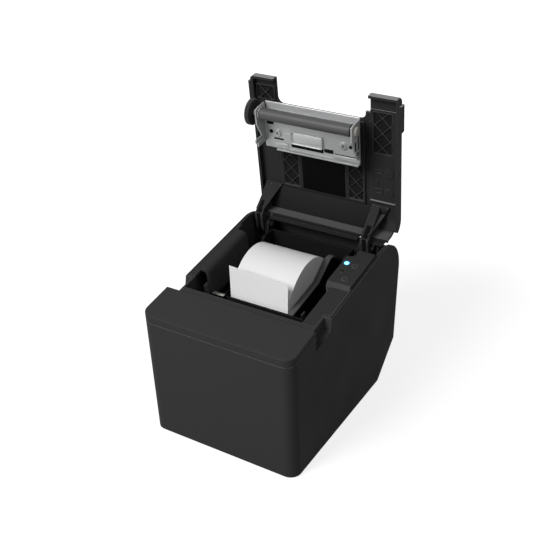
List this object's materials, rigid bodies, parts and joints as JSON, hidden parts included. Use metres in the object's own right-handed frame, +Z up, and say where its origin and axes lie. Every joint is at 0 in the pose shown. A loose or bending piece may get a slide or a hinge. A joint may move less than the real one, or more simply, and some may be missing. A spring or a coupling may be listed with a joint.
{
  "type": "receipt printer",
  "caption": "Desktop receipt printer with a sloped top, its lid standing open on rear hinges to show the platen roller, control panel and paper roll in the well.",
  "frame": {"origin": "middle of the footprint, on the surface that the rubber feet stand on", "axes": "+X to the printer's right, +Y from the front face to the back, +Z up"},
  "size_m": [0.1446, 0.1989, 0.2716],
  "materials": {
    "case_plastic": "fine matte charcoal moulding",
    "black_plastic": "satin black moulding",
    "button_plastic": "satin dark moulding",
    "steel": "plated sheet steel",
    "heat_sink": "plain extruded",
    "ceramic": "glazed strip",
    "rubber": "ground black rubber",
    "paper": "smooth white paper",
    "card": "grey card tube",
    "lamp": "lit clear lens",
    "circuit_board": "solder resist"
  },
  "bodies": {
    "base": {"main_case": "case_plastic", "front_top_cover": "case_plastic", "bottom_cover": "case_plastic", "rubber_feet": "rubber", "case_screws": "steel", "paper_well": "black_plastic", "roll_divider": "black_plastic", "paper_sheet": "paper", "rear_deck": "case_plastic", "hinge_pins": "steel", "left_inner_cover": "case_plastic", "right_inner_cover": "case_plastic", "control_panel": "case_plastic", "power_lamp": "lamp", "error_lamp": "black_plastic", "panel_board": "circuit_board", "mechanism_frame": "steel", "print_head": "ceramic", "head_heat_sink": "heat_sink", "head_spring": "steel", "cutter_housing": "black_plastic", "cutter_motor": "steel", "feed_motor": "steel", "idler_stud": "steel", "main_board": "circuit_board", "power_inlet": "black_plastic", "data_port": "black_plastic", "drawer_port": "black_plastic", "connector_panel": "case_plastic", "paper_sensor": "black_plastic", "lid_switch": "black_plastic"},
    "lid": {"lid_shell": "case_plastic", "lid_frame": "case_plastic", "bracket_screws": "steel", "guide_plate": "black_plastic", "key_plate": "case_plastic", "hinge_arm_left": "case_plastic", "hinge_arm_right": "case_plastic", "platen_bracket": "steel", "cutter_counter_blade": "steel", "platen_bushes": "black_plastic", "spring_wire": "steel"},
    "platen": {"platen_shaft": "steel", "platen_roller": "rubber", "platen_gear": "black_plastic"},
    "paper_roll": {"paper_roll": "paper", "roll_core": "card"},
    "power_button": {"power_button": "button_plastic"},
    "feed_button": {"feed_button": "button_plastic"},
    "cutter_blade": {"moving_blade": "steel"},
    "cutter_pinion": {"cutter_pinion": "steel"},
    "feed_pinion": {"feed_pinion": "black_plastic"},
    "idler_gear": {"idler_gear": "black_plastic"}
  },
  "joints": [
    {"name": "lid_hinge", "type": "hinge", "parent": "base", "child": "lid", "pos_m": [0, 0.0795, 0.13013], "axis": [1, 0, 0], "range_deg": [0, 91.3], "deforming": ["paper_sheet"]},
    {"name": "platen_spin", "type": "hinge", "parent": "lid", "child": "platen", "pos_m": [0, 0.05906, 0.24385], "axis": [1, 0, 0], "continuous": true},
    {"name": "roll_spin", "type": "hinge", "parent": "base", "child": "paper_roll", "pos_m": [0, 0.0314, 0.0918], "axis": [1, 0, 0], "continuous": true},
    {"name": "power_press", "type": "slide", "parent": "base", "child": "power_button", "axis": [0, 0.1736, -0.9848], "range_m": [0, 0.0005], "stiffness_N_per_m": 2000, "springref_m": -0.0005},
    {"name": "feed_press", "type": "slide", "parent": "base", "child": "feed_button", "axis": [0, 0.1736, -0.9848], "range_m": [0, 0.0005], "stiffness_N_per_m": 2000, "springref_m": -0.0005},
    {"name": "cutter_slide", "type": "slide", "parent": "base", "child": "cutter_blade", "axis": [0, 0.9848, 0.1736], "range_m": [0, 0.006]},
    {"name": "cutter_pinion_turn", "type": "hinge", "parent": "base", "child": "cutter_pinion", "pos_m": [0.0283, -0.06241, 0.11435], "axis": [0, 0.1736, -0.9848], "range_deg": [0, 90]},
    {"name": "idler_spin", "type": "hinge", "parent": "base", "child": "idler_gear", "pos_m": [0, -0.04536, 0.07916], "axis": [1, 0, 0], "continuous": true},
    {"name": "feed_pinion_spin", "type": "hinge", "parent": "base", "child": "feed_pinion", "pos_m": [0, -0.0545, 0.0572], "axis": [1, 0, 0], "continuous": true}
  ],
  "couplings": [
    {"joint": "cutter_pinion_turn", "follows": "cutter_slide", "rad_per_m": 250},
    {"joint": "feed_pinion_spin", "follows": "idler_spin", "ratio": -3.5625}
  ]
}
